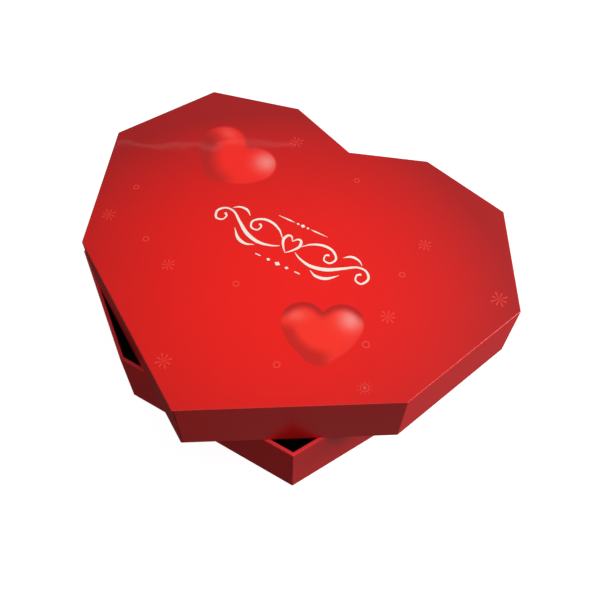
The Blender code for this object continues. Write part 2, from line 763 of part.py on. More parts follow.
def build_governor_frame(movement, zinc, steel):
    """One casting: a back wall with a foot, two cheeks for the wheel and an arm over the fly."""
    wx, wy = worm_axis()
    bm = bmesh.new()
    add_box(bm, *FRAME_WALL)
    frame = place("governor_frame", bm, zinc, movement)
    cheeks = bmesh.new()
    for x in FRAME_CHEEKS_X:
        add_box(cheeks, x, (FRAME_CHEEK_Y, FRAME_JOIN_Y), FRAME_CHEEK_Z)
    boolean(frame, cheeks, "UNION")
    arms = bmesh.new()
    half_x, half_y = FRAME_ARM_HALF
    add_box(arms, (wx - half_x, wx + half_x), (wy - half_y, FRAME_JOIN_Y), FRAME_ARM_Z)
    add_box(arms, *FRAME_FOOT)
    boolean(frame, arms, "UNION")
    holes = bmesh.new()
    cheeks_x = (FRAME_CHEEKS_X[0][0] - MM, FRAME_CHEEKS_X[1][1] + MM)
    add_rod(holes, PIVOT_HOLE_R, cheeks_x, GOVERNOR_YZ, sides=12, along="X")
    arm_z = (FRAME_ARM_Z[0] - MM, FRAME_ARM_Z[1] + MM)
    add_rod(holes, PIVOT_HOLE_R, arm_z, (wx, wy), sides=12)
    foot_z = (FRAME_FOOT[2][0] - MM, FRAME_FOOT[2][1] + MM)
    add_rod(holes, GOVERNOR_SCREW_HOLE_R, foot_z, GOVERNOR_SCREW, sides=12)
    boolean(frame, holes, "DIFFERENCE")
    screw(
        "governor_screw",
        steel,
        movement,
        (*GOVERNOR_SCREW, FRAME_FOOT[2][1] + GLUE),
        head=(1.5 * MM, 1.0 * MM),
        shank=(0.7 * MM, 2.6 * MM),
    )


def build_governor_wheel(wheel, brass):
    """Pinion and worm wheel cut on one arbor. The empty lies on the axis, with its Z along +X."""
    bm = bmesh.new()
    add_rod(bm, PIVOT_R, GOVERNOR_ARBOR_X, sides=12)
    made = place("governor_wheel", bm, brass, wheel)
    pinion = spur_teeth(GOVERNOR_PINION_TEETH, GOVERNOR_MODULE, 0.26 * MM, 0.44 * MM, 0.16, 0.42)
    towards_gear = governor_angle() + math.pi
    gap_first = towards_gear + math.pi / GOVERNOR_PINION_TEETH
    teeth = bmesh.new()
    add_loft(teeth, [tooth_loop(turn_points(pinion, gap_first), level) for level in GEAR_X])
    boolean(made, teeth, "UNION")
    worm_side = math.pi / 2
    points = spur_teeth(WORM_WHEEL_TEETH, WORM_MODULE, 0.18 * MM, 0.32 * MM, 0.2, 0.42)
    rim = bmesh.new()
    add_loft(rim, [tooth_loop(turn_points(points, worm_side), level) for level in WORM_WHEEL_X])
    boolean(made, rim, "UNION")


def build_fly(fly, steel, brass):
    """The worm shaft and the fly that brakes it. The empty lies on the shaft."""
    bm = bmesh.new()
    add_rod(bm, PIVOT_R, WORM_SHAFT_Z, sides=12)
    shaft = place("worm_shaft", bm, steel, fly, smooth=True)
    middle = GOVERNOR_YZ[1]
    core = bmesh.new()
    add_rod(core, WORM_ROOT_R, (middle - WORM_HALF_LENGTH, middle + WORM_HALF_LENGTH), sides=16)
    boolean(shaft, core, "UNION")
    boolean(shaft, worm_thread(middle), "UNION")
    bore = PIVOT_HOLE_R
    z0, z1 = FLY_Z
    hub = bmesh.new()
    loops = [(bore, z0), (FLY_HUB_R, z0), (FLY_HUB_R, z1), (bore, z1)]
    add_loft(hub, [circle(r, level, 16) for r, level in loops], ring=True)
    vanes = place("fly", hub, brass, fly, smooth=True)
    half = FLY_HALF_THICK
    for side in (-1, 1):
        vane = bmesh.new()
        x = sorted((side * MM, side * FLY_R))
        add_box(vane, x, (-half, half), (z0 + FLY_MARGIN, z1 - FLY_MARGIN))
        boolean(vanes, vane, "UNION")


def worm_thread(middle):
    """One thread wound round the shaft. A wheel tooth points at its -Y side, so it has a gap there."""
    lead = math.pi * WORM_MODULE
    per_turn = 16
    foot_r = (PIVOT_R + WORM_ROOT_R) / 2
    corners = ((foot_r, 0.17 * MM), (WORM_TIP_R, 0.08 * MM), (WORM_TIP_R, -0.08 * MM), (foot_r, -0.17 * MM))
    sections = []
    for i in range(int(-WORM_HALF_TURNS * per_turn), int(WORM_HALF_TURNS * per_turn) + 1):
        a = 2 * math.pi * i / per_turn
        level = middle + lead * (i / per_turn - 0.25)
        sections.append([(r * math.cos(a), r * math.sin(a), level + up) for r, up in corners])
    bm = bmesh.new()
    add_loft(bm, sections)
    return bm


def build_mounting_screws(movement, steel, under_floor):
    """Three screws that go up through the floor into the bedplate's bosses."""
    for i, (x, y) in enumerate(SCREW_HOLES):
        screw(
            f"mounting_screw_{i + 1}",
            steel,
            movement,
            (x, y, under_floor - GLUE),
            head=(2.8 * MM, 1.5 * MM),
            shank=(1.3 * MM, 6.4 * MM),
            flip=True,
        )


def build_cover(movement, clear):
    """A clear cap that slips over the edges of the bedplate."""
    x0, x1, y0, y1, _ = PLATE
    inner, outer = COVER_GAP, COVER_GAP + COVER_WALL
    loops = []
    for out, level in ((outer, COVER_TOP), (outer, 0), (inner, 0), (inner, COVER_TOP - COVER_WALL)):
        left, right, front, back = x0 - out, x1 + out, y0 - out, y1 + out
        corners = [(left, front), (right, front), (right, back), (left, back)]
        loops.append([(x, y, level) for x, y in corners])
    bm = bmesh.new()
    add_loft(bm, loops)
    place("movement_cover", bm, clear, movement)


def build_movement(base, bed_z):
    zinc = material("zinc", (0.62, 0.62, 0.6), 0.45, 1.0)
    steel = material("steel", (0.72, 0.72, 0.7), 0.25, 1.0)
    blued = material("blued_steel", (0.16, 0.17, 0.2), 0.35, 1.0)
    brass = material("brass", (0.8, 0.6, 0.26), 0.3, 1.0)
    clear = material("clear_plastic", (0.9, 0.93, 0.95), 0.05)
    movement = frame_empty("movement_frame", (*ARBOR_AT, bed_z), parent=base)
    barrel = frame_empty("barrel_axis", (0, 0, 0), parent=movement)
    wind = frame_empty("winding_axis", (0, 0, 0), parent=movement)
    click = frame_empty("click_axis", (*CLICK_PIVOT, 0), parent=movement)
    cylinder = frame_empty("cylinder_axis", (0, 0, CYLINDER_Z), parent=movement)
    cylinder.rotation_euler = (0, math.pi / 2, 0)
    wheel = frame_empty("governor_axis", (0, *GOVERNOR_YZ), parent=movement)
    wheel.rotation_euler = (0, math.pi / 2, 0)
    fly = frame_empty("fly_axis", (*worm_axis(), 0), parent=movement)
    build_bedplate(movement, zinc)
    build_bridge(movement, steel)
    build_barrel(movement, barrel, brass, steel, blued)
    build_arbor(movement, wind, steel, brass)
    build_click(movement, click, steel, blued)
    build_cylinder(movement, cylinder, brass, steel)
    build_comb(movement, steel)
    build_governor_frame(movement, zinc, steel)
    build_governor_wheel(wheel, brass)
    build_fly(fly, steel, brass)
    build_mounting_screws(movement, steel, FLOOR_Z - GLUE - LINING - bed_z)
    build_cover(movement, clear)


def main():
    clear_scene()
    red = material("red_wrap", (0.6, 0.02, 0.02), 0.3)
    board = material("greyboard", (0.42, 0.38, 0.33), 0.9)
    black = material("black_lining", (0.012, 0.011, 0.011), 0.8)
    base = frame_empty("base_frame", ground_origin())
    floor_top = build_base(base, red, board, black)
    pivot = Vector(LID_PIVOT)
    at = pivot - Matrix.Rotation(LID_TURN, 2) @ pivot
    lid = frame_empty("lid_frame", (*at, BASE_HEIGHT + LID_TO_RIM), LID_TURN, base)
    build_lid(lid, red, board, black)
    build_movement(base, floor_top + BEDPLATE_GAP)


main()
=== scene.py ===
"""Looks of a faceted heart gift box, its lid lying askew, with a wind-up musical movement inside.

The CAD parts are the fixed frame. The two red wraps are rebuilt with rounded folds, seams and
print, the clear cap with rounded corners, and the note cylinder gets its pins. Everything else
keeps its CAD shape and gets a finish, and the metal parts get small edge breaks. Lengths are in
metres.
"""

import json
import math
import random

import bmesh
import bpy
from mathutils import Matrix, Vector


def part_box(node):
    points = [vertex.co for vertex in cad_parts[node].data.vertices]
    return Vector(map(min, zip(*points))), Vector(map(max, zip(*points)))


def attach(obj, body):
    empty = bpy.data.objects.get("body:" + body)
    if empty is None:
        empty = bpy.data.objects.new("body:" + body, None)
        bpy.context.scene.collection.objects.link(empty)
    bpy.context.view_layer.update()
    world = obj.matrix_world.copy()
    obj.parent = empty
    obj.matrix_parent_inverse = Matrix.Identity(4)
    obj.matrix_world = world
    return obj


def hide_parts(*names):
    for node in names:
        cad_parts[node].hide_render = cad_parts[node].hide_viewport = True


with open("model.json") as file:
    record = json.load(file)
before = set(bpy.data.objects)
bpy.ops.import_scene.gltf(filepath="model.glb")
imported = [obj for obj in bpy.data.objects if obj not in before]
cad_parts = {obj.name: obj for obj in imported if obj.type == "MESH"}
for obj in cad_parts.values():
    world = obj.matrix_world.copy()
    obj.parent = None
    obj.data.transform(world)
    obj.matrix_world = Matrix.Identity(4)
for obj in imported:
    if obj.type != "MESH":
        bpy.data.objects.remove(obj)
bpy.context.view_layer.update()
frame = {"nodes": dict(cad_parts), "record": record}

MM = 0.001

# The heart's outline on the right, from the cleft round to the tip, as the lid's outside has it
HEART = [(0, 0), (47.5, 18), (105.5, 3.5), (140, -59.5), (107, -142.5), (0, -207.5)]
TIP = 5
CLEFT = 0
LID_TURN = math.radians(-29.8)
BASE_INSET = 2.6 * MM

# Paper and board
WRAP = 0.3 * MM
LID_RIM = 2.2 * MM
BASE_RIM = 2.4 * MM
TURN_IN = 14 * MM
TOP_BOARD_JOINT = 2.5 * MM
JOINT_HALF = 0.5 * MM
JOINT_DIP = 0.05 * MM
TOP_SHEET = 4 * MM
CORNER_R = 0.8 * MM
LEAST_CORNER_R = 0.12 * MM
FOLD_R = 0.55 * MM
RIM_R = 0.4 * MM
TRAY_RIM_R = 0.75 * MM
ARC_STEPS = 6
LEVEL_FACE = 0.7
# The slit between two flaps beside the tip: distance from the corner, and 1 where it is deep
SEAM = [(1.25 * MM, 0), (1.2 * MM, 1), (0.76 * MM, 1), (0.71 * MM, 0)]
SEAM_DEPTH = 0.25 * MM
# How deep the shallow side of the painted shade strip in the slit lies
SEAM_SHADE_SHALLOW = 0.12 * MM
SEAM_REACH = 0.1 * MM
# How far the slit and its strip of painted shade stay from the lid's lower edge and from its top
SLIT_ENDS = (1.5 * MM, 1.3 * MM)
SLIT_ROWS = (1.6 * MM, 1.2 * MM)
SHADE_ENDS = (1.7 * MM, 2.1 * MM)
CREASE_WIDE = 0.35 * MM
CREASE_HIGH = 0.06 * MM
CREASE_END = 0.15 * MM
CREASE_SINK = 0.002 * MM
CREASE_SLOPE = 0.2

# The movement
METALS = ("zinc", "steel", "blued_steel", "brass")
CAP_WALL = 1.0 * MM
CAP_CORNER = 1.8 * MM
CAP_CORNER_INSIDE = 0.5 * MM
CAP_R = 1.0 * MM
CAP_LIP = 0.25 * MM
CAP_LIP_HIGH = 2 * MM
CAP_LIP_TOP = 2.3 * MM
# The cap's inside, rounded up to its ceiling: how much further in, and how far below the ceiling
CAP_COVE = [(0, 0.7 * MM), (0.5 * MM, 0.15 * MM), (CAP_R, 0)]
COMB_TEETH = 18
PIN_MARGIN = 0.55 * MM
PIN_R = 0.17 * MM
PIN_TIP = 0.6
PIN_GAP = 0.12 * MM
PIN_ROOT = 0.3 * MM
PIN_CHAMFER = 0.06 * MM
PIN_SIDES = 8
PIN_STEPS = 36
PINS_PER_ROW = 5
PIN_SEED = 7
EDGE_BREAK_ANGLE = math.radians(35)
EDGE_BREAK = {
    "other": 0.12 * MM, "bedplate": 0.35 * MM, "governor_frame": 0.25 * MM, "winding_key": 0.3 * MM,
    "comb": 0.04 * MM, "click_spring": 0.03 * MM, "mainspring": 0.03 * MM, "fly": 0.05 * MM,
    "worm_shaft": 0.03 * MM, "governor_wheel": 0.04 * MM, "cylinder_gear": 0.05 * MM,
    "cylinder_pinion": 0.04 * MM, "great_wheel": 0.06 * MM, "ratchet_wheel": 0.06 * MM,
}

# Print on the lid, in millimetres of the lid's own frame
# The top's brightest red: partly print, partly painted light that falls off towards the edges
GLOW_CENTRE = (6, -116)
GLOW_REACH = (144, 138)
# Each half of a puffy heart is a bar from the middle of its lobe to the tip, with a radius at each
# end and a bulge between. Soft is how blurred the outline is, valley how rounded the cleft, and rim how
# strong the darker rim is. Dusk is the dark side: it grows with the distance from the lit point, which
# squeeze stretches sideways, and fades towards the top and the right. Shine and glint are highlights:
# place, reach as a share of the lobe's radius, and strength.
PUFFY_HEARTS = [
    {
        "centre": (-63.6, -44.7), "turn": -13.4, "lobe": (14.0, 8.9), "lobe_r": 14.2,
        "tip": (1.0, -8.5), "tip_r": 10.5, "bulge": 2.2, "soft": 0.08, "valley": 0.42,
        "body": (1.0, 0.025, 0.017), "rim": 0.2, "lit": (8, 14), "squeeze": 1.0,
        "dusk": (18, 30.5), "dusk_above": (20, 2), "dusk_right": (18, 6), "dusk_tone": 0.80,
        "shine": (18.5, 15.8, 0.36, 0.85), "glint": (-17.4, 17.0, 0.2, 0.45),
    },
    {
        "centre": (47.5, -127.9), "turn": 25.0, "lobe": (11.0, 7.2), "lobe_r": 12.8,
        "tip": (-1.0, -8.8), "tip_r": 11.0, "bulge": 1.6, "soft": 0.035, "valley": 0.14,
        "body": (1.0, 0.035, 0.021), "rim": 1.0, "lit": (2, 11), "squeeze": 1.15,
        "dusk": (18.5, 25.5), "dusk_above": (8, 0), "dusk_right": (9, -1), "dusk_tone": 0.70,
        "shine": (16.0, 10.2, 0.34, 0.95), "glint": (-15.4, 11.0, 0.2, 0.65),
    },
]
FLAKES = [
    ((-105, -118), 9.5, 10), ((-53, -131), 9.5, 25), ((-20, -185), 10.5, 0), ((-34, -9), 10, 5),
    ((73, -44), 9.5, 15), ((126, -58), 11, 0), ((75, -100), 10, 20),
]
BLOSSOM = ((83, -146), 11)
RINGS = [
    ((-75, -122), 4.4), ((-11.5, -123), 4.6), ((-103, -92), 4.2), ((70, -70), 4.2), ((72, -122), 5.2),
    ((35, -157), 4.8), ((15, -19), 4.2),
]
INK_LIFT = 0.02 * MM
INK_THICK = 0.03 * MM
STROKE_START = 0.12
STROKE_STEPS = 10
DISC_SIDES = 20
RING_SIDES = 28
# Parts of the motifs, as shares of a motif's size
FLAKE_STROKES = (0.34, 0.41)
FLAKE_START = 0.07
FLAKE_WIDTH = 0.1
FLAKE_DOT = 0.05
BLOSSOM_DOT = 0.10
BLOSSOM_DARK_RING = 0.15
BLOSSOM_RING = 0.21
BLOSSOM_PETALS = 10
PETAL_START = 0.28
PETAL_REACH = 0.12
PETAL_WIDTH = 0.03
RING_R = 0.36
RING_DOT = 0.13


# ---------------------------------------------------------------- shader expressions


class Term:
    """A number in a shader's node tree. Sums, products and the functions below add Math nodes."""

    def __init__(self, tree, socket):
        self.tree = tree
        self.socket = socket

    def math(self, operation, *others, clamp=False):
        node = self.tree.nodes.new("ShaderNodeMath")
        node.operation = operation
        node.use_clamp = clamp
        for place, value in zip(node.inputs, (self, *others)):
            if isinstance(value, Term):
                self.tree.links.new(value.socket, place)
            else:
                place.default_value = value
        return Term(self.tree, node.outputs[0])

    def __add__(self, other):
        return self.math("ADD", other)

    def __sub__(self, other):
        return self.math("SUBTRACT", other)

    def __mul__(self, other):
        return self.math("MULTIPLY", other)

    def __truediv__(self, other):
        return self.math("DIVIDE", other)

    def clamped(self):
        return self.math("ADD", 0.0, clamp=True)

    def flipped(self):
        """One minus the number."""
        return self * -1.0 + 1.0

    def length(self, other):
        return (self * self + other * other).math("SQRT")

    def ramp(self, low, high):
        """0 below low and 1 above high, with a smooth step between. High may be the lower one."""
        t = ((self - low) / (high - low)).clamped()
        return t * t * (t * -2.0 + 3.0)

    def bell(self, width):
        """1 at zero, falling off smoothly on both sides."""
        return (self * self * (-1.0 / (2 * width * width))).math("EXPONENT")


class Finish:
    """A material with a Principled shader, and short ways to feed it.

    With a place, its patterns are drawn in that frame and not in the row's.
    """

    def __init__(self, name, place=None, **values):
        self.place = place
        self.material = bpy.data.materials.new(name)
        self.material.use_nodes = True
        self.tree = self.material.node_tree
        self.shader = self.tree.nodes["Principled BSDF"]
        for socket, value in values.items():
            self.shader.inputs[socket.replace("_", " ")].default_value = value

    def node(self, kind, **values):
        made = self.tree.nodes.new(kind)
        for name, value in values.items():
            setattr(made, name, value)
        return made

    def link(self, source, target):
        self.tree.links.new(source.socket if isinstance(source, Term) else source, target)

    def coordinates(self, kind="Object"):
        found = self.node("ShaderNodeTexCoord").outputs[kind]
        if kind == "Normal" or self.place is None:
            return found
        inverse = self.node("ShaderNodeMapping", vector_type="TEXTURE")
        inverse.inputs["Location"].default_value = self.place.to_translation()
        inverse.inputs["Rotation"].default_value = self.place.to_euler()
        self.link(found, inverse.inputs["Vector"])
        return inverse.outputs[0]

    def axes(self, kind="Object", scale=1.0):
        split = self.node("ShaderNodeSeparateXYZ")
        self.link(self.coordinates(kind), split.inputs[0])
        return [Term(self.tree, split.outputs[i]) * scale for i in range(3)]

    def stretched(self, scale):
        mapping = self.node("ShaderNodeMapping")
        mapping.inputs["Scale"].default_value = scale
        self.link(self.coordinates(), mapping.inputs["Vector"])
        return mapping.outputs[0]

    def noise(self, scale, detail=3.0, roughness=0.55, vector=None):
        made = self.node("ShaderNodeTexNoise")
        made.inputs["Scale"].default_value = scale
        made.inputs["Detail"].default_value = detail
        made.inputs["Roughness"].default_value = roughness
        self.link(vector or self.coordinates(), made.inputs["Vector"])
        return Term(self.tree, made.outputs[0])

    def mix(self, factor, first, second, blend="MIX"):
        """A colour between two colours, each given as three numbers or as a socket."""
        made = self.node("ShaderNodeMix", data_type="RGBA", blend_type=blend)
        if isinstance(factor, float):
            made.inputs["Factor"].default_value = factor
        else:
            self.link(factor, made.inputs["Factor"])
        for place, colour in ((made.inputs[6], first), (made.inputs[7], second)):
            if isinstance(colour, tuple):
                place.default_value = (*colour, 1)
            else:
                self.link(colour, place)
        return made.outputs[2]

    def colour(self, source):
        self.link(source, self.shader.inputs["Base Color"])

    def rough(self, term):
        self.link(term, self.shader.inputs["Roughness"])

    def bump(self, *layers):
        """Each layer is (height, distance): the height's full step stands that far out."""
        normal = None
        for height, distance in layers:
            made = self.node("ShaderNodeBump")
            made.inputs["Strength"].default_value = 1.0
            made.inputs["Distance"].default_value = distance
            self.link(height, made.inputs["Height"])
            if normal:
                self.link(normal, made.inputs["Normal"])
            normal = made.outputs[0]
        self.link(normal, self.shader.inputs["Normal"])
        if self.shader.inputs["Coat Weight"].default_value > 0:
            self.link(normal, self.shader.inputs["Coat Normal"])


# ---------------------------------------------------------------- finishes


# The top's red from its lit peak to its shaded edge: print with painted light and shade laid in
RED_PEAK_LIT = (0.93, 0.0125, 0.0085)
RED_EDGE_SHADED = (0.405, 0.011, 0.012)
RED_WALL = (0.80, 0.013, 0.014)
# Lighter pink on the folds: whitened ink at the crease and a painted highlight
FOLD_WHITENING_AND_SHEEN = (1.0, 0.075, 0.075)
TRAY_REDS = ((0.74, 0.012, 0.013), (0.86, 0.014, 0.015))
# The tray's rim painted lighter where it looks up, as lit from above
TRAY_RIM_PAINTED_LIGHT = (1.0, 0.040, 0.050)
HEART_RIM = (0.50, 0.013, 0.012)
HEART_THIN_RIM = (0.52, 0.016, 0.014)
HEART_LIGHTS = [("glint", 0.6, (1.0, 0.14, 0.11)), ("shine", 1.0, (1.0, 0.28, 0.25))]
FILM_ROUGHNESS = 0.42
FILM_WAVES = 0.3 * MM
FILM_PEEL = 0.0015 * MM
INK_GRAIN = 0.002 * MM
FILM_LEVEL = {"Coat_Weight": 0.3, "Coat_Roughness": 0.03, "Specular_IOR_Level": 0.2}
FILM_UPRIGHT = {"Coat_Weight": 0.6, "Coat_Roughness": 0.25, "Specular_IOR_Level": 0.02}


def film(name, values, place=None):
    """Paper laminated with a clear film: glossy, with a faint orange peel and long shallow waves.

    The film lies smooth on level board and is rubbed duller on the upright walls.
    """
    made = Finish(name, place, Roughness=FILM_ROUGHNESS, **values)
    waves = made.noise(22, detail=1.5)
    peel = made.noise(1100, detail=1.0)
    made.bump((waves, FILM_WAVES), (peel, FILM_PEEL))
    return made


def fold_mask(made):
    """1 on folds between level and upright faces, 0 on the faces themselves."""
    _, _, up = made.axes("Normal")
    level = up * up
    return (level * level.flipped() * 4.0).ramp(0.25, 0.95)


def glow_of(made, x, y):
    """Where the top's red is brightest, 1 in the middle and 0 at the far corners: print and painted light."""
    dx = (x - GLOW_CENTRE[0]) / GLOW_REACH[0]
    dy = (y - GLOW_CENTRE[1]) / GLOW_REACH[1]
    return (dx * dx + dy * dy).flipped()


def puffy_heart(made, colour, x, y, heart):
    """Paint a soft raised-looking heart over the colour. Each half is a tapered round bar."""
    turn = math.radians(heart["turn"])
    dx, dy = x - heart["centre"][0], y - heart["centre"][1]
    u = dx * math.cos(turn) + dy * math.sin(turn)
    v = dy * math.cos(turn) - dx * math.sin(turn)
    lobe_x, lobe_y = heart["lobe"]
    halves = []
    for side in (-1, 1):
        ax, ay = side * lobe_x, lobe_y
        bx, by = heart["tip"][0] - ax, heart["tip"][1] - ay
        reach = bx * bx + by * by
        along = (((u - ax) * bx + (v - ay) * by) / reach).clamped()
        radius = along * (heart["tip_r"] - heart["lobe_r"]) + heart["lobe_r"]
        radius = radius + along * along.flipped() * (4 * heart["bulge"])
        qx = (u - ax - along * bx) / radius
        qy = (v - ay - along * by) / radius
        halves.append(qx.length(qy))
    m0, m1 = halves
    edge = m0.math("SMOOTH_MIN", m1, heart["valley"])
    lit_x, lit_y = heart["lit"]
    shade = ((u - lit_x) * heart["squeeze"]).length(v - lit_y).ramp(*heart["dusk"])
    shade = shade * v.ramp(*heart["dusk_above"]) * u.ramp(*heart["dusk_right"])
    upper = v.ramp(lobe_y - 1, lobe_y + 8) * 0.9 + 0.1
    rim = edge.ramp(0.5, 0.92) * upper * heart["rim"]
    thin_rim = edge.ramp(0.90, 1.0) * 0.35
    inside = edge.ramp(1.0, 0.86)
    dusk = made.mix(1.0, colour, (heart["dusk_tone"], 1.3, 1.3), "MULTIPLY")
    body = made.mix(shade * 0.95, heart["body"], dusk)
    for key, tall, tint in HEART_LIGHTS:
        spot_x, spot_y, reach, strength = heart[key]
        spot = ((u - spot_x) * tall).length(v - spot_y).bell(heart["lobe_r"] * reach)
        body = made.mix(spot * strength * inside, body, tint)
    body = made.mix(rim * 0.95, body, HEART_RIM)
    body = made.mix(thin_rim, body, HEART_THIN_RIM)
    soft = heart["soft"]
    return made.mix(edge.ramp(1 + soft, 1 - soft), colour, body)


def printed_film(name, values, place, hearts):
    """The lid's wrap: the given hearts on a glow of print and painted light on top, plain red walls."""
    made = film(name, values, place)
    x, y, _ = made.axes(scale=1 / MM)
    glow = glow_of(made, x, y)
    cloud = made.noise(14, detail=3) - 0.5
    # Painted light and shade: the top's red is brightest in the middle and darker towards its edges
    top = made.mix((glow + cloud * 0.16).clamped(), RED_EDGE_SHADED, RED_PEAK_LIT)
    for heart in hearts:
        top = puffy_heart(made, top, x, y, heart)
    _, _, up = made.axes("Normal")
    colour = made.mix(up.ramp(0.3, 0.7), RED_WALL, top)
    # Painted highlight on the folds, with the ink's whitening there
    made.colour(made.mix(fold_mask(made) * 0.65, colour, FOLD_WHITENING_AND_SHEEN))
    return made.material


def plain_film(name, values):
    """The tray's wrap: the same laminated paper in red, with painted light on faces that look up."""
    made = film(name, values)
    cloud = made.noise(18, detail=3)
    colour = made.mix(cloud, *TRAY_REDS)
    _, _, up = made.axes("Normal")
    # Painted light: faces that look up, the rim above all, are lighter red
    colour = made.mix(up.ramp(0.7, 0.97), colour, TRAY_RIM_PAINTED_LIGHT)
    # A faint painted highlight on the tray's folds, with the ink's whitening there
    made.colour(made.mix(fold_mask(made) * 0.15, colour, FOLD_WHITENING_AND_SHEEN))
    return made.material


def tinted_ink(name, edge, peak, place):
    """Ink that follows the top's glow of print and painted light, a step away from the red around it."""
    made = Finish(name, place, Roughness=FILM_ROUGHNESS, Coat_Weight=0.3, Coat_Roughness=0.03)
    x, y, _ = made.axes(scale=1 / MM)
    worn = made.noise(700, detail=2) - 0.5
    # The ink takes the same painted light and shade as the red around it
    made.colour(made.mix((glow_of(made, x, y) + worn * 0.3).clamped(), edge, peak))
    made.bump((made.noise(1500, detail=1), INK_GRAIN))
    return made.material


def ink(name, colour, second, place, roughness):
    """Opaque ink with a slight mottle between two colours."""
    made = Finish(name, place, Roughness=roughness, Coat_Weight=0.4, Coat_Roughness=0.1)
    made.colour(made.mix(made.noise(900, detail=2), colour, second))
    made.bump((made.noise(1500, detail=1), INK_GRAIN))
    return made.material


def lining():
    """Matt black paper with short fibres and a faint calender grain."""
    made = Finish("lining_black", Roughness=0.78)
    made.shader.inputs["Specular IOR Level"].default_value = 0.3
    fibres = made.noise(420, detail=5, roughness=0.7, vector=made.stretched((1, 2.6, 1)))
    patches = made.noise(35, detail=3)
    colour = made.mix(fibres.ramp(0.35, 0.75), (0.0065, 0.006, 0.006), (0.016, 0.0145, 0.014))
    made.colour(made.mix(patches.ramp(0.5, 0.8) * 0.4, colour, (0.012, 0.010, 0.010)))
    made.rough(fibres * 0.18 + 0.68)
    made.bump((fibres, 0.03 * MM))
    return made.material


def greyboard():
    """Bare recycled board: grey-brown with darker flecks and a pressed fibre surface."""
    made = Finish("greyboard_fibre", Roughness=0.9)
    flecks = made.noise(700, detail=6, roughness=0.75)
    clouds = made.noise(60, detail=4)
    colour = made.mix(clouds, (0.33, 0.29, 0.25), (0.44, 0.40, 0.35))
    made.colour(made.mix(flecks.ramp(0.62, 0.72) * 0.5, colour, (0.16, 0.14, 0.12)))
    made.bump((flecks, 0.06 * MM))
    return made.material


def metal(name, light, dark, roughness, grain, grain_depth, cast=0.0):
    """Bare metal with a direction of grain, finger-dull patches and, where cast, a fine skin."""
    made = Finish(name, Metallic=1.0)
    lines = made.noise(900, detail=4, roughness=0.6, vector=made.stretched(grain))
    dull = made.noise(90, detail=4)
    colour = made.mix(dull.ramp(0.35, 0.7), light, dark)
    made.colour(made.mix(lines.ramp(0.3, 0.8) * 0.25, colour, dark))
    made.rough(dull * 0.16 + lines * 0.1 + (roughness - 0.1))
    layers = [(lines, grain_depth)]
    if cast:
        layers.append((made.noise(1400, detail=3), cast))
    made.bump(*layers)
    return made.material


def clear_plastic():
    """Injection-moulded polystyrene: clear, with faint flow waves and a few fine scuffs."""
    made = Finish("clear_cap", Roughness=0.04, Transmission_Weight=1.0, IOR=1.49)
    flow = made.noise(60, detail=2)
    scuffs = made.noise(500, detail=6, roughness=0.8, vector=made.stretched((1, 7, 1)))
    made.colour(made.mix(flow, (0.95, 0.97, 0.98), (0.99, 0.99, 1.0)))
    made.rough(scuffs.ramp(0.6, 0.85) * 0.16 + 0.03)
    made.bump((flow, 0.02 * MM))
    return made.material


# ---------------------------------------------------------------- outlines


def heart_points(inset):
    """The heart's ten corners, moved in by the inset with every side kept parallel."""
    right = [Vector(point) * MM for point in HEART]
    corners = right + [Vector((-p.x, p.y)) for p in reversed(right[1:-1])]
    moved = []
    for i, corner in enumerate(corners):
        before = (corner - corners[i - 1]).normalized()
        after = (corners[(i + 1) % len(corners)] - corner).normalized()
        inward = Vector((before.y + after.y, -before.x - after.x)) / (1 + before.dot(after))
        moved.append(corner + inward * inset)
    return moved


def fillet(points, radii, steps=ARC_STEPS, closed=True):
    """The 2D line with each corner of some radius turned into an arc."""
    made = []
    for i, (point, radius) in enumerate(zip(points, radii)):
        point = Vector(point)
        if radius <= 0 or (not closed and i in (0, len(points) - 1)):
            made.append(point)
            continue
        back = (Vector(points[i - 1]) - point).normalized()
        on = (Vector(points[(i + 1) % len(points)]) - point).normalized()
        half = back.angle(on) / 2
        centre = point + (back + on).normalized() * (radius / math.sin(half))
        first = point + back * (radius / math.tan(half)) - centre
        last = point + on * (radius / math.tan(half)) - centre
        sweep = math.atan2(first.x * last.y - first.y * last.x, first.dot(last))
        for k in range(steps + 1):
            made.append(centre + Matrix.Rotation(sweep * k / steps, 2) @ first)
    return made


def seam(points, depth):
    """Four places on the right side, just before the tip, for the slit between two flaps of paper."""
    back = (points[TIP - 1] - points[TIP]).normalized()
    inward = Vector((-back.y, back.x))
    return [points[TIP] + back * at + inward * (depth * deep) for at, deep in SEAM]


def outline(inset, level, seam_depth):
    """The heart's outline with rounded upright corners, at one height."""
    points = heart_points(inset)
    radii = [max(CORNER_R - inset, LEAST_CORNER_R)] * len(points)
    radii[CLEFT] = CORNER_R + inset
    slit = seam(points, seam_depth)
    points[TIP:TIP] = slit
    radii[TIP:TIP] = [0] * len(slit)
    return [(p.x, p.y, level) for p in fillet(points, radii)]


def frame_of(node, inset, turn):
    """From the heart's own frame to the row frame, by where the CAD node stands."""
    low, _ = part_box(node)
    spin = Matrix.Rotation(turn, 4, "Z")
    corners = [spin @ Vector((p.x, p.y, 0)) for p in heart_points(inset)]
    shift = Vector((low.x - min(c.x for c in corners), low.y - min(c.y for c in corners), low.z))
    return Matrix.Translation(shift) @ spin


# ---------------------------------------------------------------- meshes


def loft(bm, loops, ring=False):
    """Faces from each loop to the next. A ring also joins the last to the first, and otherwise both
    are filled in, so a hollow form has to start and end on the faces that close it.
    """
    rows = [[bm.verts.new(point) for point in loop] for loop in loops]
    pairs = list(zip(rows, rows[1:]))
    if ring:
        pairs.append((rows[-1], rows[0]))
    for low, high in pairs:
        for i, vert in enumerate(low):
            j = (i + 1) % len(low)
            bm.faces.new((vert, low[j], high[j], high[i]))
    if not ring:
        bm.faces.new(rows[0])
        bm.faces.new(rows[-1])


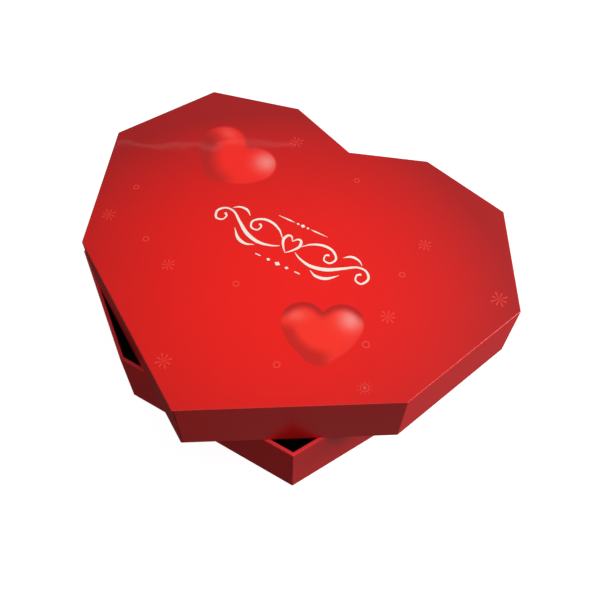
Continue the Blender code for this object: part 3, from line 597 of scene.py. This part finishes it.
def piece(name, bm, finish, body, place=None, smooth=30, weighted=True):
    """Make a mesh object that rides on a CAD body, its vertices moved to their place.

    The finish is one material, or two: for upright faces, and for faces that look up.
    """
    if place:
        bmesh.ops.transform(bm, matrix=place, verts=bm.verts)
    bmesh.ops.recalc_face_normals(bm, faces=bm.faces)
    finishes = finish if isinstance(finish, list) else [finish]
    if len(finishes) > 1:
        for face in bm.faces:
            face.material_index = int(face.normal.z > LEVEL_FACE)
    mesh = bpy.data.meshes.new(name)
    for each in finishes:
        mesh.materials.append(each)
    bm.to_mesh(mesh)
    bm.free()
    mesh.shade_smooth()
    mesh.set_sharp_from_angle(angle=math.radians(smooth))
    made = bpy.data.objects.new(name, mesh)
    bpy.context.scene.collection.objects.link(made)
    if weighted:
        normals = made.modifiers.new("weighted_normals", "WEIGHTED_NORMAL")
        normals.keep_sharp = True
    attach(made, body)
    return made


def shell(profile, radii, ring, outside, slit=(0, 0)):
    """A sheet that follows the heart. The profile is (inset, height), rounded by the radii.

    The seam is cut where the profile runs on the outside, between the two heights of the slit.
    """
    bm = bmesh.new()
    loops = []
    for p in fillet(profile, radii, closed=ring):
        cut = abs(p.x - outside) < SEAM_REACH and slit[0] <= p.y <= slit[1]
        loops.append(outline(p.x, p.y, SEAM_DEPTH if cut else 0))
    loft(bm, loops, ring)
    return bm


# ---------------------------------------------------------------- the box


def build_lid_wrap(place, top):
    """The lid's wrap, with a faint step where the top board meets the wall boards."""
    joint = top - TOP_BOARD_JOINT
    profile = [
        (TOP_SHEET, top),
        (0, top),
        (0, joint + JOINT_HALF),
        (JOINT_DIP, joint),
        (0, joint - JOINT_HALF),
        (0, SLIT_ROWS[0]),
        (0, SLIT_ROWS[1]),
        (0, 0),
        (LID_RIM, 0),
        (LID_RIM, TURN_IN),
        (LID_RIM - WRAP, TURN_IN),
        (LID_RIM - WRAP, WRAP),
        (WRAP, WRAP),
        (WRAP, top - WRAP),
        (TOP_SHEET, top - WRAP),
    ]
    radii = [0, FOLD_R, 0, 0, 0, 0, 0, RIM_R, RIM_R, 0, 0, 0, 0, 0, 0]
    sheet = shell(profile, radii, False, 0, (SLIT_ENDS[0], top - SLIT_ENDS[1]))
    films = [
        printed_film("lid_print_walls", FILM_UPRIGHT, place, []),
        printed_film("lid_print_and_painted_light_top", FILM_LEVEL, place, PUFFY_HEARTS),
    ]
    made = piece("lid_print_wrap", sheet, films, "lid", place)
    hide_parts("lid_wrap")


def build_seam_painted_shade(place, low, high):
    """A dark strip at the bottom of the lid's seam: painted shade in the slit."""
    bm = bmesh.new()
    points = heart_points(0)
    loops = []
    for level in (low, high):
        deep, shallow = seam(points, SEAM_DEPTH)[1:3], seam(points, SEAM_SHADE_SHALLOW)[1:3]
        loops.append([(p.x, p.y, level) for p in (*deep, *reversed(shallow))])
    loft(bm, loops)
    seam_shade = Finish("seam_painted_shade", place, Roughness=0.6)
    # Painted shade: near-black red where the slit lies in shadow
    seam_shade.colour(seam_shade.mix(seam_shade.noise(500), (0.09, 0.006, 0.006), (0.03, 0.004, 0.004)))
    piece("lid_seam_painted_shade", bm, seam_shade.material, "lid", place, weighted=False)


def build_tray_wrap(place, top):
    """The tray's wrap, turned in over the rim and round the lower edge."""
    outer, inner = BASE_INSET, BASE_INSET + BASE_RIM
    profile = [
        (outer, 0),
        (outer, top),
        (inner, top),
        (inner, top - TURN_IN),
        (inner - WRAP, top - TURN_IN),
        (inner - WRAP, top - WRAP),
        (outer + WRAP, top - WRAP),
        (outer + WRAP, WRAP),
        (inner - WRAP, WRAP),
        (inner - WRAP, TURN_IN),
        (inner, TURN_IN),
        (inner, 0),
    ]
    radii = [RIM_R, TRAY_RIM_R, RIM_R, 0, 0, 0, 0, 0, 0, 0, 0, RIM_R]
    sheet = shell(profile, radii, True, outer)
    films = [plain_film("tray_film_walls", FILM_UPRIGHT), plain_film("tray_film_rim", FILM_LEVEL)]
    made = piece("tray_wrap", sheet, films, "base", place)
    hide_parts("base_wrap")


def build_creases(place, top):
    """A fine raised crease across the tray's rim at each corner, where the paper is folded over."""
    bm = bmesh.new()
    outer = heart_points(BASE_INSET + RIM_R + CREASE_END)
    inner = heart_points(BASE_INSET + BASE_RIM - RIM_R - CREASE_END)
    for start, end in zip(outer, inner):
        along = (end - start).normalized()
        side = Vector((-along.y, along.x)) * (CREASE_WIDE / 2)
        foot = [start - side, end - side, end + side, start + side]
        ridge = [start, end, end, start]
        crest = [p.lerp(q, CREASE_SLOPE) for p, q in zip(ridge, foot)]
        rows = [(foot, top - WRAP / 2), (foot, top - CREASE_SINK), (crest, top + CREASE_HIGH)]
        loft(bm, [[(p.x, p.y, z) for p in line] for line, z in rows])
    piece("rim_creases", bm, plain_film("crease_film", FILM_LEVEL), "base", place)


# ---------------------------------------------------------------- the movement


def rounded_box(low, high, radius, level, steps=5):
    corners = [(low.x, low.y), (high.x, low.y), (high.x, high.y), (low.x, high.y)]
    return [(p.x, p.y, level) for p in fillet([Vector(c) for c in corners], [radius] * 4, steps)]


def build_cover():
    """The clear cap, open below: rounded corners and top edge, a top plate, and a thickened lip."""
    low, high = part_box("movement_cover")
    flat = Vector((1, 1, 0))

    def ring(inset, level, radius):
        return rounded_box(low + flat * inset, high - flat * inset, radius, level)

    outside = []
    for i in range(ARC_STEPS, 0, -1):
        a = math.pi / 2 * i / ARC_STEPS
        outside.append((CAP_LIP + CAP_R * (1 - math.cos(a)), high.z - CAP_R * (1 - math.sin(a))))
    outside += [
        (CAP_LIP, high.z - CAP_R),
        (CAP_LIP, low.z + CAP_LIP_TOP),
        (0, low.z + CAP_LIP_HIGH),
        (0, low.z + CAP_LIP),
        (CAP_LIP, low.z),
    ]
    ceiling = high.z - CAP_WALL
    inside = [(CAP_WALL, low.z)] + [(CAP_WALL + further, ceiling - below) for further, below in CAP_COVE]
    loops = [ring(inset, level, CAP_CORNER - inset) for inset, level in outside]
    loops += [ring(inset, level, CAP_CORNER_INSIDE) for inset, level in inside]
    bm = bmesh.new()
    loft(bm, loops)
    made = piece("clear_cap", bm, clear_plastic(), "base", smooth=40)
    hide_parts("movement_cover")


def build_pins(finish):
    """Pins on the cylinder, in one row per tooth of the comb, that stop just short of its tips."""
    low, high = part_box("cylinder")
    _, comb_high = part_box("comb")
    centre = (low + high) / 2
    radius = (high.z - low.z) / 2
    reach = centre.y - comb_high.y - PIN_GAP
    chance = random.Random(PIN_SEED)
    bm = bmesh.new()
    pitch = (high.x - low.x - 2 * PIN_MARGIN) / (COMB_TEETH - 1)
    rows = [(PIN_R, radius - PIN_ROOT), (PIN_R, reach - PIN_CHAMFER), (PIN_R * PIN_TIP, reach)]
    for tooth in range(COMB_TEETH):
        x = low.x + PIN_MARGIN + pitch * tooth
        for step in sorted(chance.sample(range(PIN_STEPS), PINS_PER_ROW)):
            turn = Matrix.Rotation(2 * math.pi * step / PIN_STEPS, 4, "X")
            spot = Matrix.Translation((x, centre.y, centre.z)) @ turn
            loft(bm, [[spot @ Vector((a, b, out)) for a, b in disc((0, 0), r, PIN_SIDES)] for r, out in rows])
    piece("cylinder_pins", bm, finish, "cylinder")


def soften(name, node):
    """Break the sharp edges of a CAD part: thin sheet a little, castings and turned parts more."""
    width = EDGE_BREAK.get(name, EDGE_BREAK["other"])
    weld = node.modifiers.new("weld", "WELD")
    weld.merge_threshold = 0.001 * MM
    bevel = node.modifiers.new("edge_break", "BEVEL")
    bevel.width = width
    bevel.segments = 2
    bevel.limit_method = "ANGLE"
    bevel.angle_limit = EDGE_BREAK_ANGLE
    bevel.harden_normals = False
    normals = node.modifiers.new("weighted_normals", "WEIGHTED_NORMAL")
    normals.keep_sharp = True


# ---------------------------------------------------------------- print on the lid


def flat_shape(bm, points, level):
    """A thin raised outline shape of ink."""
    loft(bm, [[(x * MM, y * MM, z) for x, y in points] for z in (level, level + INK_THICK)])


def teardrop(start, reach, width, angle, centre):
    """A stroke that swells towards its outer end."""
    points = []
    for i in range(STROKE_STEPS):
        a = math.pi * (0.5 - i / (STROKE_STEPS - 1))
        points.append((start + reach - width / 2 + width / 2 * math.cos(a), width / 2 * math.sin(a)))
    points.append((start, -STROKE_START))
    points.append((start, STROKE_START))
    cos, sin = math.cos(angle), math.sin(angle)
    return [(centre[0] + x * cos - y * sin, centre[1] + x * sin + y * cos) for x, y in points]


def disc(centre, radius, sides=DISC_SIDES):
    turns = [2 * math.pi * i / sides for i in range(sides)]
    return [(centre[0] + radius * math.cos(a), centre[1] + radius * math.sin(a)) for a in turns]


def annulus(bm, centre, radius, width, level):
    inner = disc(centre, radius - width / 2, RING_SIDES)
    outer = disc(centre, radius + width / 2, RING_SIDES)
    low, high = level, level + INK_THICK
    loops = [(inner, low), (outer, low), (outer, high), (inner, high)]
    loft(bm, [[(x * MM, y * MM, z) for x, y in loop] for loop, z in loops], ring=True)


def build_motifs(place, top):
    """Small stars of eight strokes, one blossom and scattered rings in lighter red."""
    level = top + INK_LIFT
    bm, dark = bmesh.new(), bmesh.new()
    for centre, size, turn in FLAKES:
        for i in range(8):
            angle = math.radians(turn + 45 * i)
            reach = size * FLAKE_STROKES[i % 2]
            flat_shape(bm, teardrop(size * FLAKE_START, reach, size * FLAKE_WIDTH, angle, centre), level)
        flat_shape(bm, disc(centre, size * FLAKE_DOT), level)
    centre, size = BLOSSOM
    flat_shape(bm, disc(centre, size * BLOSSOM_DOT), level)
    annulus(dark, centre, size * BLOSSOM_DARK_RING, 0.6, level)
    annulus(bm, centre, size * BLOSSOM_RING, 0.5, level)
    for i in range(BLOSSOM_PETALS):
        angle = math.radians(360 / BLOSSOM_PETALS * i + 10)
        petal = teardrop(size * PETAL_START, size * PETAL_REACH, size * PETAL_WIDTH, angle, centre)
        flat_shape(bm, petal, level)
    for centre, size in RINGS:
        annulus(bm, centre, size * RING_R, 0.8, level)
        flat_shape(dark, disc(centre, size * RING_DOT), level)
    # Both inks darken towards the top's edges with the painted shade of the glow
    light = tinted_ink("ink_light_red", (0.74, 0.028, 0.022), (1.0, 0.046, 0.032), place)
    deep = tinted_ink("ink_deep_red", (0.24, 0.010, 0.010), (0.68, 0.012, 0.010), place)
    piece("lid_motifs", bm, light, "lid", place, weighted=False)
    piece("lid_motif_centres", dark, deep, "lid", place, weighted=False)


def between(a, b, c, d, t):
    """Catmull-Rom: a value the share t of the way from b to c, in a row a, b, c, d."""
    return 0.5 * (
        2 * b + (c - a) * t + (2 * a - 5 * b + 4 * c - d) * t**2 + (3 * b - a - 3 * c + d) * t**3
    )


def spline(points, steps=14):
    """A smooth line through points of (x, y, width)."""
    made = []
    ends = [points[0]] + list(points) + [points[-1]]
    for p0, p1, p2, p3 in zip(ends, ends[1:], ends[2:], ends[3:]):
        for k in range(steps):
            made.append(tuple(between(*row, k / steps) for row in zip(p0, p1, p2, p3)))
    made.append(points[-1])
    return made


def ribbon(bm, points, level, mirror, centre):
    """A pen stroke of changing width, drawn or mirrored about the centre."""
    line = [Vector((x, y)) for x, y, _ in points]
    widths = [w for _, _, w in points]
    left, right = [], []
    for i, p in enumerate(line):
        along = (line[min(i + 1, len(line) - 1)] - line[max(i - 1, 0)]).normalized()
        side = Vector((-along.y, along.x)) * max(widths[i], PEN_LEAST) / 2
        left.append(p + side)
        right.append(p - side)
    places = [(mirror * p.x + centre[0], p.y + centre[1]) for p in left + right[::-1]]
    n = len(line)
    low, high = level, level + INK_THICK
    rows = [[bm.verts.new((x * MM, y * MM, z)) for x, y in places] for z in (low, high)]
    for i in range(n - 1):
        j = 2 * n - 1 - i
        for row in rows:
            bm.faces.new((row[i], row[i + 1], row[j - 1], row[j]))
    for i in range(2 * n):
        k = (i + 1) % (2 * n)
        bm.faces.new((rows[0][i], rows[0][k], rows[1][k], rows[1][i]))


FLOURISH_AT = (2.5, -83)
FLOURISH_TALL = 1.25
FLOURISH_BOLD = 1.25
PEN_LEAST = 0.08
OVER = 15.6
UNDER = -16.0
DIVIDERS = [[(5.6, OVER, 0.2), (9, OVER, 0.9), (17, OVER, 0.2)], [(11.5, UNDER, 0.7), (15.0, UNDER, 0.7)]]
SIDE_DIAMONDS = [(6.2, UNDER, 1.3), (3.4, OVER, 1.0)]
MIDDLE_DIAMONDS = [(OVER, 1.6), (UNDER, 1.9)]
SCROLLS = [
    # the long scroll that ends in a curl
    [
        (5.2, -3.2, 0.3), (10, -5.2, 0.9), (18, -6.4, 1.6), (27, -4.6, 1.9), (35, -0.4, 1.4),
        (42, 3.6, 1.0), (48, 3.8, 1.0), (51.6, 0.4, 1.1), (49.6, -3.6, 1.0), (45.6, -3.2, 0.8),
        (44.6, -0.4, 0.8), (46.6, 1.0, 1.2),
    ],
    # the upper scroll, curling back over it
    [
        (6.4, 1.2, 0.3), (11, 4.8, 0.9), (17.5, 7.0, 1.3), (24, 6.6, 1.2), (28.6, 3.2, 1.0),
        (27.0, -0.4, 0.9), (23.0, -0.4, 0.8), (22.0, 2.4, 0.8), (24.0, 3.4, 1.1),
    ],
    # a leaf below and a small one above the long scroll
    [(19, -8.6, 0.2), (24, -10.2, 1.3), (30, -9.0, 1.5), (35.5, -4.6, 0.2)],
    [(32, 5.4, 0.2), (36, 7.8, 1.2), (41, 7.6, 0.9), (44.4, 5.6, 0.2)],
]
HEART_LOOP = [
    (0, -5.6, 0.3), (3.2, -2.6, 0.9), (5.4, 0.8, 1.3), (4.6, 3.9, 1.2), (2.2, 4.3, 0.9), (0, 1.9, 0.35),
]


def diamond(centre, size):
    x, y = centre
    return [(x - size, y), (x, y + size * 0.8), (x + size, y), (x, y - size * 0.8)]


def build_flourish(place, top):
    """A mirror-symmetric ornament in cream: a heart between scrolls, with a divider over and under."""
    level = top + INK_LIFT
    cx, cy = FLOURISH_AT
    bm = bmesh.new()
    for mirror in (-1, 1):
        for stroke in SCROLLS + [HEART_LOOP]:
            drawn = [(x, y * FLOURISH_TALL, w * FLOURISH_BOLD) for x, y, w in stroke]
            ribbon(bm, spline(drawn), level, mirror, FLOURISH_AT)
        for stroke in DIVIDERS:
            ribbon(bm, spline(stroke), level, mirror, FLOURISH_AT)
        for x, y, size in SIDE_DIAMONDS:
            flat_shape(bm, diamond((cx + mirror * x, cy + y), size), level)
    for y, size in MIDDLE_DIAMONDS:
        flat_shape(bm, diamond((cx, cy + y), size), level)
    cream = ink("ink_cream", (1.0, 0.90, 0.76), (1.0, 0.96, 0.86), place, roughness=0.45)
    piece("lid_flourish", bm, cream, "lid", place, weighted=False)


# ---------------------------------------------------------------- stage


CAMERA_AT = (-6.2 * MM, -276.8 * MM, 474.8 * MM)
CAMERA_TURN = math.radians(-2.667)
CAMERA_DOWN = math.radians(58.428)
CAMERA_ROLL = math.radians(-1.849)
LENS = 46.35
AMBIENT_SKY = 0.09
AMBIENT_GROUND = 0.23
GLOSS_SKY = 0.24
GLOSS_LEFT = 0.03
GLOSS_RIGHT = 0.12
HORIZON_SOFT = 0.15
GROUND_TURN = (-0.25, 0.05)
FLOOR_R = 9
FLOOR_SIDES = 60
# The floor's own glow: at the box, how much more it is far off, and from where to where it grows
FLOOR_GLOW = 0.94
FLOOR_GLOW_MORE = 0.06
FLOOR_GLOW_REACH = (0.25, 0.7)


def build_camera():
    data = bpy.data.cameras.new("camera")
    data.lens = LENS
    data.sensor_width = 36
    data.clip_start = 0.02
    camera = bpy.data.objects.new("camera", data)
    bpy.context.scene.collection.objects.link(camera)
    tilt = Matrix.Rotation(math.pi / 2 - CAMERA_DOWN, 4, "X")
    spin = Matrix.Rotation(CAMERA_TURN, 4, "Z")
    roll = Matrix.Rotation(-CAMERA_ROLL, 4, "Z")
    camera.matrix_world = Matrix.Translation(CAMERA_AT) @ spin @ tilt @ roll
    bpy.context.scene.camera = camera


def build_floor():
    """A wide pale floor that glows a little, so that shadows on it stay faint."""
    bm = bmesh.new()
    bm.faces.new([bm.verts.new((x, y, 0)) for x, y in disc((0, 0), FLOOR_R, FLOOR_SIDES)])
    mesh = bpy.data.meshes.new("floor")
    bmesh.ops.recalc_face_normals(bm, faces=bm.faces)
    bm.to_mesh(mesh)
    bm.free()
    made = Finish("floor_pale", Roughness=0.7)
    made.shader.inputs["Specular IOR Level"].default_value = 0.1
    made.colour(made.mix(made.noise(3), (0.30, 0.30, 0.30), (0.31, 0.31, 0.31)))
    made.shader.inputs["Emission Color"].default_value = (1, 1, 1, 1)
    x, y, _ = made.axes()
    glow = x.length(y).ramp(*FLOOR_GLOW_REACH) * FLOOR_GLOW_MORE + FLOOR_GLOW
    made.link(glow, made.shader.inputs["Emission Strength"])
    mesh.materials.append(made.material)
    floor = bpy.data.objects.new("floor", mesh)
    bpy.context.scene.collection.objects.link(floor)
    floor.visible_diffuse = False
    floor.visible_glossy = False


def area_light(name, position, target, size, power, roll=0, mirrored=True):
    """A soft box. One that isn't mirrored lights surfaces, and leaves no bright window on gloss."""
    data = bpy.data.lights.new(name, "AREA")
    data.shape = "RECTANGLE"
    data.size, data.size_y = size
    data.energy = power
    light = bpy.data.objects.new(name, data)
    bpy.context.scene.collection.objects.link(light)
    light.visible_glossy = mirrored
    direction = Vector(target) - Vector(position)
    turn = direction.to_track_quat("-Z", "Y").to_matrix().to_4x4()
    light.matrix_world = Matrix.Translation(position) @ turn @ Matrix.Rotation(math.radians(roll), 4, "Z")


def build_world():
    """White to the camera. As light it is dim, and stronger from below, as off a floor.

    In gloss it is darker below than above, and darkest on the left.
    """
    world = bpy.data.worlds.new("studio")
    world.use_nodes = True
    bpy.context.scene.world = world
    tree = world.node_tree
    path = tree.nodes.new("ShaderNodeLightPath")
    split = tree.nodes.new("ShaderNodeSeparateXYZ")
    tree.links.new(tree.nodes.new("ShaderNodeTexCoord").outputs["Generated"], split.inputs[0])
    above = Term(tree, split.outputs[2]).ramp(-HORIZON_SOFT, HORIZON_SOFT)
    ground = Term(tree, split.outputs[0]).ramp(*GROUND_TURN) * (GLOSS_RIGHT - GLOSS_LEFT) + GLOSS_LEFT
    camera = Term(tree, path.outputs["Is Camera Ray"])
    glossy = Term(tree, path.outputs["Is Glossy Ray"])
    diffuse = above * (AMBIENT_SKY - AMBIENT_GROUND) + AMBIENT_GROUND
    strength = glossy * (above * GLOSS_SKY + ground) + glossy.flipped() * diffuse
    sky = tree.nodes["Background"]
    sky.inputs["Color"].default_value = (1, 1, 1, 1)
    tree.links.new((camera + camera.flipped() * strength).socket, sky.inputs["Strength"])


def build_light():
    middle = (0, 0, 0.08)
    area_light("key_right", (1.3, 0.08, 1.0), middle, (1.0, 1.0), 33)
    area_light("top_soft", (0.0, -0.45, 1.45), middle, (0.8, 0.8), 3.3, mirrored=False)
    area_light("fill_left", (-1.3, 0.5, 0.6), middle, (0.5, 0.8), 0.7)
    area_light("fill_back", (-0.5, 1.5, 0.3), middle, (0.9, 0.4), 2, mirrored=False)
    area_light("far_strip", (-0.175, 0.949, 1.041), middle, (0.42, 0.01), 0.02, roll=-8)
    build_world()
    bpy.context.scene.view_settings.view_transform = "Standard"


# ---------------------------------------------------------------- everything


def dress_cad():
    """Finishes for the CAD parts that are shown as they are."""
    finishes = {
        "greyboard": greyboard(),
        "black_lining": lining(),
        "zinc": metal(
            "zinc_cast", light=(0.62, 0.62, 0.60), dark=(0.48, 0.48, 0.47), roughness=0.42,
            grain=(1, 1, 1), grain_depth=0.01 * MM, cast=0.02 * MM,
        ),
        "steel": metal(
            "steel_ground", light=(0.72, 0.72, 0.71), dark=(0.55, 0.55, 0.54), roughness=0.28,
            grain=(0.05, 1, 1), grain_depth=0.004 * MM,
        ),
        "blued_steel": metal(
            "steel_blued", light=(0.13, 0.15, 0.22), dark=(0.08, 0.08, 0.10), roughness=0.3,
            grain=(1, 1, 0.05), grain_depth=0.003 * MM,
        ),
        "brass": metal(
            "brass_turned", light=(0.86, 0.63, 0.27), dark=(0.66, 0.46, 0.18), roughness=0.26,
            grain=(1, 1, 0.06), grain_depth=0.004 * MM,
        ),
        "clear_plastic": clear_plastic(),
    }
    slots = {row["node"]: row["material_slot"] for row in frame["record"]["subparts"]}
    for name, node in frame["nodes"].items():
        if slots[name] in finishes:
            node.material_slots[0].material = finishes[slots[name]]
        if slots[name] in METALS:
            soften(name, node)
    return finishes


def main():
    lid_low, lid_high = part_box("lid_wrap")
    tray_low, tray_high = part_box("base_wrap")
    lid_place = frame_of("lid_wrap", 0, LID_TURN)
    tray_place = frame_of("base_wrap", BASE_INSET, 0)
    lid_top = lid_high.z - lid_low.z
    build_lid_wrap(lid_place, lid_top)
    build_seam_painted_shade(lid_place, SHADE_ENDS[0], lid_top - SHADE_ENDS[1])
    build_tray_wrap(tray_place, tray_high.z - tray_low.z)
    build_motifs(lid_place, lid_top)
    build_flourish(lid_place, lid_top)
    build_creases(tray_place, tray_high.z - tray_low.z)
    build_cover()
    finishes = dress_cad()
    build_pins(finishes["steel"])
    build_camera()
    build_floor()
    build_light()


main()
